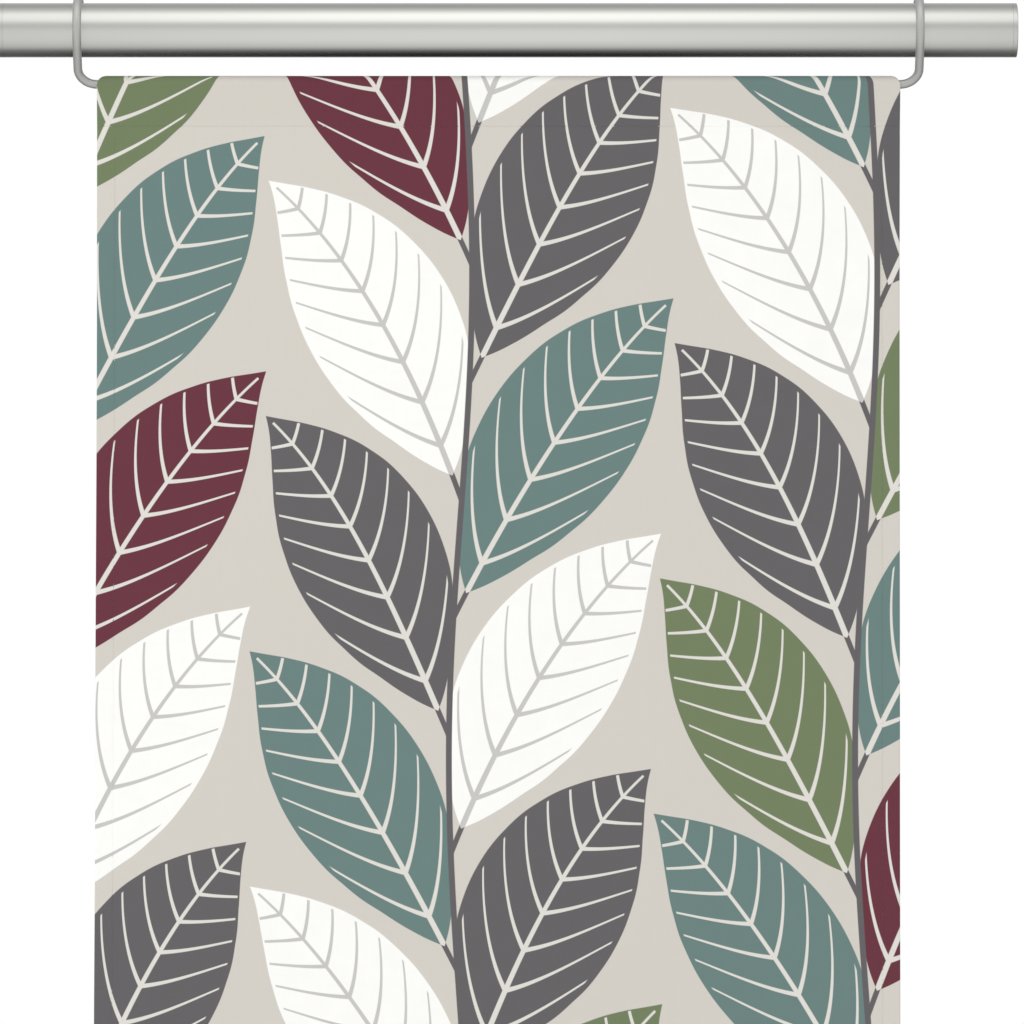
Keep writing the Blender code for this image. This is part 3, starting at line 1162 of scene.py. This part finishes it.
class ClothShape:
    """Where the cloth's faces lie, from its left side to its right and from its foot up."""

    def __init__(self, cloth):
        self.layer = cloth.layer
        self.side_hem = cloth.side_hem
        self.foot_hem = cloth.foot_hem
        self.side_seam = cloth.side_hem - cloth.seam_inset
        self.foot_seam = PANEL_FOOT + cloth.foot_hem - cloth.seam_inset
        self.meet = PANEL_TOP - cloth.heading_seam
        self.flap = PANEL_TOP - cloth.heading_hem
        self.column_spacing = cloth.column_spacing
        self.row_spacing = cloth.row_spacing
        outside = self.ring(TUNNEL_RADIUS, *self.faces(0, self.meet))
        self.heading_length = path_lengths(outside)[-1]

    def columns(self):
        """Places across, closer together at the sides' rims, seams and hems."""
        rim = rim_places(NOSE)
        seam = [self.side_seam + place for place in seam_places()]
        hem = [self.side_hem - place for place in rim_places(RIM)] + [self.side_hem + RIM]
        in_side = merged(rim + seam + hem)
        half = [HALF_WIDTH - place for place in in_side]
        return [-x for x in half] + spaced(-half[-1], half[-1], self.column_spacing)[1:-1] + half[::-1]

    def rows(self):
        """Heights from the foot to where the tunnel's walls part."""
        hem_top = PANEL_FOOT + self.foot_hem
        foot = [PANEL_FOOT + place for place in rim_places(NOSE)]
        seam = [self.foot_seam + place for place in seam_places()]
        hem = [hem_top - place for place in rim_places(RIM)] + [hem_top + RIM]
        low = merged(foot + spaced(foot[-1], seam[0], self.row_spacing)[1:-1] + seam + hem)
        flap = [self.flap + place for place in rim_places(RIM)]
        high = [self.flap - RIM, *flap, *spaced(flap[-1], self.meet, HEADING_ROWS)[1:]]
        return low + spaced(low[-1], high[0], self.row_spacing)[1:-1] + high

    def layers(self, x, height):
        """How many layers lie on each other, with a rounded step at each hem's inner edge."""
        side = rim_share(self.side_hem - (HALF_WIDTH - abs(x)), RIM)
        side *= 1 - smooth_step((height - self.flap) / (self.meet - self.flap))
        foot = rim_share(PANEL_FOOT + self.foot_hem - height, RIM)
        head = rim_share(height - self.flap, RIM)
        turned_up = max(foot, head)
        return 1 + side + turned_up + CORNER_PRESS * side * turned_up

    def pinch(self, x, height):
        """How much the nearest seam draws the cloth in, from 0 to 1."""
        reach = [abs(height - self.foot_seam)]
        if height < self.flap:
            reach.append(abs(HALF_WIDTH - abs(x) - self.side_seam))
        near = min(reach) / SEAM_REACH
        return max(0.0, 1 - near * near) ** 2

    def faces(self, x, height):
        """The front and back faces, which meet in a rounded fold at the sides and the foot."""
        pinch = self.pinch(x, height)
        front = -FRONT + SEAM_SINK[0] * pinch
        back = -FRONT + self.layer * self.layers(x, height) - SEAM_SINK[1] * pinch
        full = rim_share(HALF_WIDTH - abs(x), NOSE) * rim_share(height - PANEL_FOOT, NOSE)
        middle, half = (front + back) / 2, (back - front) / 2
        return middle - half * full, middle + half * full

    def ring(self, radius, front, back):
        """(y, height) round the tunnel at a radius, from the seam's front to its back."""
        drop = self.meet - BAR_HEIGHT

        def touch(y):
            return math.atan2(y, drop) - math.acos(radius / math.hypot(y, drop))

        start, end = touch(-front), -touch(back)
        arc = [
            (-radius * math.sin(a), BAR_HEIGHT + radius * math.cos(a))
            for a in (start + (end - start) * i / TUNNEL_STEPS for i in range(TUNNEL_STEPS + 1))
        ]
        rise = [0.0, 0.12, 0.4, 0.7, 0.94]  # shares of the straight way up to the arc
        (up_y, up_z), (down_y, down_z) = arc[0], arc[-1]
        up = [(front + (up_y - front) * t, self.meet + (up_z - self.meet) * t) for t in rise]
        down = [(back + (down_y - back) * t, self.meet + (down_z - self.meet) * t) for t in rise]
        return up + arc + down[::-1]


def path_lengths(points):
    lengths = [0.0]
    for one, two in zip(points, points[1:]):
        lengths.append(lengths[-1] + math.dist(one, two))
    return lengths


def cloth_column(bm, shape, x, rows):
    """One column: lists of (vertex, flat place) for the front, tunnel, back and tunnel's inside."""
    at_side = HALF_WIDTH - abs(x) < 1e-6
    front, back = [], []
    for height in rows[:-1]:
        near, far = shape.faces(x, height)
        vertex = bm.verts.new(hung(x, near, height))
        same = far - near < 1e-7
        front.append((vertex, (x, height)))
        back.append((vertex if same else bm.verts.new(hung(x, far, height)), (x, height)))
    near, far = shape.faces(x, shape.meet)
    half = shape.layer / 2 * rim_share(HALF_WIDTH - abs(x), NOSE)
    middle = TUNNEL_RADIUS - shape.layer / 2
    outer = shape.ring(middle + half, near, far)
    ring = [bm.verts.new(hung(x, y, height)) for y, height in outer[:-1]]
    ring.append(ring[0] if at_side else bm.verts.new(hung(x, *outer[-1])))
    around = list(zip(ring, ((x, shape.meet + length) for length in path_lengths(outer))))
    if at_side:
        within = around
    else:
        parting = -FRONT + shape.layer
        inner = shape.ring(middle - half, parting, parting)
        wall = [bm.verts.new(hung(x, y, height)) for y, height in inner[:-1]]
        within = list(zip(wall + wall[:1], ((x, height) for _, height in inner)))
    front.append(around[0])
    back.append((ring[-1], (x, shape.meet)))
    return {"front": front, "around": around, "back": back, "within": within}


PRINTED, WRONG = 0, 1


def as_it_lies(x, height):
    return x, height


def back_place(shape, centre):
    """What shows on the back at a place: the material, and how its flat places are found."""
    x, height = centre
    if height < PANEL_FOOT + shape.foot_hem:
        return PRINTED, lambda x, height: (x, 2 * PANEL_FOOT - height)
    if height > shape.flap:
        return PRINTED, lambda x, height: (x, 2 * shape.meet + shape.heading_length - height)
    if abs(x) > HALF_WIDTH - shape.side_hem:
        return PRINTED, lambda x, height: (math.copysign(PANEL_WIDTH, x) - x, height)
    return WRONG, as_it_lies


def bake_place(surface, centre, corner, heading_length):
    """Where a corner lies in the layout for painting: two wide strips and two narrow ones."""
    margin = 0.006
    base = 0.032
    foot, top = PANEL_FOOT, PANEL_TOP + heading_length
    across = corner[0] / PANEL_WIDTH + 0.5
    if surface == "within":
        rise = (corner[1] - BAR_HEIGHT) / (4 * TUNNEL_RADIUS) * 0.1 + 0.5
        return margin + across * (1 - 2 * margin), rise * (base - margin)
    upper = centre[1] > (foot + top) / 2
    wide, narrow = 0.330, 0.155
    strips = {
        ("outer", False): (margin, wide),
        ("outer", True): (2 * margin + wide, wide),
        ("back", False): (3 * margin + 2 * wide, narrow),
        ("back", True): (4 * margin + 2 * wide + narrow, narrow),
    }
    left, width = strips[surface, upper]
    tall = (top - foot) / 2
    rise = (corner[1] - foot - upper * tall) / tall
    return left + across * width, base + rise * (1 - base - margin)


def cloth_mesh(shape):
    """The cloth's mesh, with its flat places as one UV map and a layout for painting as another."""
    bm = bmesh.new()
    cloth_uv = bm.loops.layers.uv.new("cloth")
    bake_uv = bm.loops.layers.uv.new("OFBake")
    rows = shape.rows()
    columns = [cloth_column(bm, shape, x, rows) for x in shape.columns()]
    surfaces = {"front": "outer", "around": "outer", "back": "back", "within": "within"}
    for part, surface in surfaces.items():
        lines = [column[part] for column in columns]
        for one, two in zip(lines, lines[1:]):
            for corners in zip(one, one[1:], two[1:], two):
                places = [place for _, place in corners]
                centre = [sum(values) / 4 for values in zip(*places)]
                material, flat = WRONG if part == "within" else PRINTED, as_it_lies
                if part == "back":
                    material, flat = back_place(shape, centre)
                face = bm.faces.new([vertex for vertex, _ in corners])
                face.material_index = material
                for loop, place in zip(face.loops, places):
                    loop[cloth_uv].uv = flat(*place)
                    loop[bake_uv].uv = bake_place(surface, centre, place, shape.heading_length)
    bmesh.ops.recalc_face_normals(bm, faces=bm.faces)
    return mesh_from("panel_cloth", bm, sharp_angle=math.radians(60))


def build_cloth(cloth, look):
    face = cloth_material("printed cloth", cloth, look, bare_share=0.0)
    wrong = cloth_material("wrong side", cloth, look, bare_share=1 - cloth.strike_through)
    shape = ClothShape(cloth)
    item = new_item("panel_cloth", cloth_mesh(shape), face, wrong)
    item.visible_glossy = False
    finish_piece(item, "printed_cloth", "panel")
    width = PANEL_WIDTH + 2 * cloth.side_hem
    heading = shape.heading_length + shape.meet - shape.flap
    length = shape.meet - PANEL_FOOT + heading + cloth.foot_hem


# Sewing


def seam_route(shape, name):
    """Flat places along a seam."""
    levels = {"heading_stitches": shape.meet - HEADING_ROW_DROP, "foot_stitches": shape.foot_seam}
    if name in levels:
        end = HALF_WIDTH - ROW_INSET
        return [(x, levels[name]) for x in spaced(-end, end, LEVEL_STEP)]
    side = HALF_WIDTH - shape.side_seam
    x = -side if name == "left_side_stitches" else side
    return [(x, height) for height in spaced(shape.foot_seam, shape.flap - SIDE_ROW_DROP, SIDE_STEP)]


def seam_lines(shape, name, proud):
    """Two lines of (point, flat place on the print) along a seam, on the cloth's front and back."""
    lines = []
    for back in (False, True):
        line = []
        for x, height in seam_route(shape, name):
            y = shape.faces(x, height)[back] + (proud if back else -proud)
            line.append((hung(x, y, height), (*thread_place(shape, x, height, back), 0.0)))
        lines.append(line)
    return lines


def thread_place(shape, x, height, back):
    """The flat place whose print shows under a stitch."""
    if not back:
        return x, height
    return back_place(shape, (x, height))[1](x, height)


def stitch_tree():
    """A row of stitches along every line of a mesh of edges, with named sizes."""
    tree, given, result = geometry_tree(
        "Stitch row",
        (("Pitch", "Float", 0.003), ("Stitch", "Float", 0.0025), ("Thickness", "Float", 0.0003)),
    )
    line = make(tree, "GeometryNodeMeshToCurve", {"Mesh": given["Geometry"]})
    row = make(
        tree,
        "GeometryNodeResampleCurve",
        {"Curve": line.outputs[0], "Length": given["Pitch"]},
        mode="LENGTH",
    )
    bead = make(tree, "GeometryNodeMeshUVSphere", {"Segments": 6, "Rings": 6, "Radius": 0.5})
    girth = given["Thickness"]
    shaped = make(
        tree,
        "GeometryNodeTransform",
        {"Geometry": bead.outputs["Mesh"], "Scale": vector(tree, girth, girth, given["Stitch"])},
    )
    smooth = make(tree, "GeometryNodeSetShadeSmooth", {"Geometry": shaped.outputs[0]})
    heading = tree.nodes.new("GeometryNodeInputTangent")
    turn = make(tree, "FunctionNodeAlignRotationToVector", {"Vector": heading.outputs[0]}, axis="Z")
    vary = make(tree, "FunctionNodeRandomValue", data_type="FLOAT")
    floats = [socket for socket in vary.inputs if socket.type == "VALUE"]
    join(floats[0], 0.90)
    join(floats[1], 1.04)
    join(vary.inputs["Seed"], 7)
    stitches = make(
        tree,
        "GeometryNodeInstanceOnPoints",
        {
            "Points": row.outputs[0],
            "Instance": smooth.outputs[0],
            "Rotation": turn.outputs[0],
            "Scale": next(socket for socket in vary.outputs if socket.type == "VALUE"),
        },
    )
    return finish_tree(tree, given, result, stitches.outputs[0])


def build_stitches(cloth, thread, look):
    shape = ClothShape(cloth)
    tree = stitch_tree()
    values = {
        "Pitch": thread.pitch,
        "Stitch": thread.stitch,
        "Thickness": thread.thickness,
        "Material": thread_material(look),
    }
    for name in SEAM_ROWS:
        lines = seam_lines(shape, name, proud=thread.thickness * THREAD_PROUD)
        item = grown(name, line_mesh(name, lines, "cloth_place", "float_vector"), tree, values)
        item.visible_glossy = False
        finish_piece(item, "printed_cloth")


# Stage


def floor_material(tint):
    """A pale matt floor, which is clear when seen from below."""
    material, tree, shader = new_material("pale floor", 0.7, specular=0.2)
    fine = noise(object_place(tree), 9.0, detail=1.0)
    join(shader.inputs["Base Color"], scaled(tree, tint, fine * 0.02 + 0.99))
    from_below = tree.nodes.new("ShaderNodeNewGeometry").outputs["Backfacing"]
    clear = tree.nodes.new("ShaderNodeBsdfTransparent")
    either = tree.nodes.new("ShaderNodeMixShader")
    for target, source in zip(either.inputs, (from_below, shader.outputs[0], clear.outputs[0])):
        join(target, source)
    join(tree.nodes["Material Output"].inputs["Surface"], either.outputs[0])
    arrange(tree)
    return material


def build_floor(stage):
    bm = bmesh.new()
    bmesh.ops.create_circle(bm, cap_ends=True, segments=96, radius=FLOOR_RADIUS)
    bmesh.ops.translate(bm, verts=bm.verts, vec=(0, 0, PANEL_FOOT - FLOOR_DROP))
    floor = new_item("floor", mesh_from("floor", bm), floor_material(stage.floor))
    floor.visible_glossy = False


def build_surround(stage):
    """White for the camera, even light for matt surfaces, and a studio's bands for metal."""
    world = bpy.data.worlds.new("studio")
    world.use_nodes = True
    world.cycles.sampling_method = "NONE"
    tree = world.node_tree
    tree.nodes.clear()
    direction = tree.nodes.new("ShaderNodeTexCoord").outputs["Generated"]
    x, y, z = parts(direction)
    turn = math_node("ARCTAN2", z, y * -1) / math.tau + 0.5
    stops = [(degrees / 360 + 0.5, (level / STUDIO_FULL,) * 3) for degrees, level in STUDIO]
    bands = value_of(colour_ramp(tree, turn, stops, "LINEAR")) * STUDIO_FULL
    bands = bands * (1 - abs(x) * SIDE_LOSS)
    path = tree.nodes.new("ShaderNodeLightPath").outputs
    glossy = Value(path["Is Glossy Ray"])
    camera = Value(path["Is Camera Ray"])
    strength = bands * glossy + (1 - glossy) * stage.surround
    strength = strength * (1 - camera) + camera
    background = make(tree, "ShaderNodeBackground", {"Color": opaque((1, 1, 1)), "Strength": strength})
    output = tree.nodes.new("ShaderNodeOutputWorld")
    join(output.inputs["Surface"], background.outputs[0])
    arrange(tree)
    bpy.context.scene.world = world


def build_key(stage):
    """A large soft lamp high on the front's left, which metal and the camera don't see."""
    lamp = bpy.data.lights.new("key", "AREA")
    lamp.energy = stage.key
    lamp.shape = "DISK"
    lamp.size = LAMP_SIZE
    item = bpy.data.objects.new("key", lamp)
    item.location = LAMP_PLACE
    aim = Vector(LAMP_AIM) - item.location
    item.rotation_euler = aim.to_track_quat("-Z", "Y").to_euler()
    item.visible_glossy = False
    item.visible_camera = False
    bpy.context.scene.collection.objects.link(item)


def build_camera(stage):
    lens = bpy.data.cameras.new("camera")
    lens.lens = stage.lens
    lens.sensor_width = 36.0
    lens.clip_start = 0.05
    lens.clip_end = 100.0
    camera = bpy.data.objects.new("camera", lens)
    camera.location = (stage.camera_side, -stage.camera_distance, stage.camera_height)
    camera.rotation_euler = (math.pi / 2, 0, 0)
    bpy.context.scene.collection.objects.link(camera)
    bpy.context.scene.camera = camera
    bpy.context.scene.view_settings.view_transform = "Standard"


# Operators and panel


class CURTAIN_OT_rod(Operator):
    """Make the rod's tube and its two end caps"""

    bl_idname = "curtain.rod"
    bl_label = "Rod"
    bl_options = {"REGISTER", "UNDO"}

    def execute(self, context):
        build_rod(context.scene.curtain_metal)
        return {"FINISHED"}


class CURTAIN_OT_bar(Operator):
    """Make the bar in the heading's tunnel"""

    bl_idname = "curtain.bar"
    bl_label = "Heading bar"
    bl_options = {"REGISTER", "UNDO"}

    def execute(self, context):
        build_bar(context.scene.curtain_metal)
        return {"FINISHED"}


class CURTAIN_OT_hooks(Operator):
    """Make the two wire hooks"""

    bl_idname = "curtain.hooks"
    bl_label = "Hooks"
    bl_options = {"REGISTER", "UNDO"}

    def execute(self, context):
        build_hooks(context.scene.curtain_metal)
        return {"FINISHED"}


class CURTAIN_OT_stitches(Operator):
    """Sew the heading, the sides and the foot"""

    bl_idname = "curtain.stitches"
    bl_label = "Stitches"
    bl_options = {"REGISTER", "UNDO"}

    def execute(self, context):
        scene = context.scene
        build_stitches(scene.curtain_cloth, scene.curtain_thread, scene.curtain_print)
        return {"FINISHED"}


class CURTAIN_OT_cloth(Operator):
    """Hang the printed cloth, with its hems and tunnel"""

    bl_idname = "curtain.cloth"
    bl_label = "Cloth"
    bl_options = {"REGISTER", "UNDO"}

    def execute(self, context):
        build_cloth(context.scene.curtain_cloth, context.scene.curtain_print)
        return {"FINISHED"}


class CURTAIN_OT_stage(Operator):
    """Set the floor, the light and the camera"""

    bl_idname = "curtain.stage"
    bl_label = "Stage"
    bl_options = {"REGISTER", "UNDO"}

    def execute(self, context):
        stage = context.scene.curtain_stage
        build_floor(stage)
        build_surround(stage)
        build_key(stage)
        build_camera(stage)
        return {"FINISHED"}


class CURTAIN_PT_sidebar(Panel):
    """Lists the curtain's pieces and their settings"""

    bl_idname = "CURTAIN_PT_sidebar"
    bl_label = "Panel curtain"
    bl_space_type = "VIEW_3D"
    bl_region_type = "UI"
    bl_category = "Curtain"

    def draw(self, context):
        layout = self.layout
        for operator in OPERATORS:
            layout.operator(operator.bl_idname)
        for name, group in SETTINGS.items():
            box = layout.box()
            box.label(text=name.replace("curtain_", "").title())
            for label in group.__annotations__:
                box.prop(getattr(context.scene, name), label)


OPERATORS = (
    CURTAIN_OT_rod,
    CURTAIN_OT_bar,
    CURTAIN_OT_hooks,
    CURTAIN_OT_stitches,
    CURTAIN_OT_cloth,
    CURTAIN_OT_stage,
)
CLASSES = (*SETTINGS.values(), *OPERATORS, CURTAIN_PT_sidebar)


def register():
    for item in CLASSES:
        bpy.utils.register_class(item)
    for name, group in SETTINGS.items():
        setattr(bpy.types.Scene, name, PointerProperty(type=group))


def unregister():
    for name in SETTINGS:
        delattr(bpy.types.Scene, name)
    for item in reversed(CLASSES):
        bpy.utils.unregister_class(item)


def main():
    register()
    bpy.ops.curtain.rod()
    bpy.ops.curtain.bar()
    bpy.ops.curtain.hooks()
    bpy.ops.curtain.stitches()
    bpy.ops.curtain.cloth()
    bpy.ops.curtain.stage()


if __name__ == "__main__":
    main()
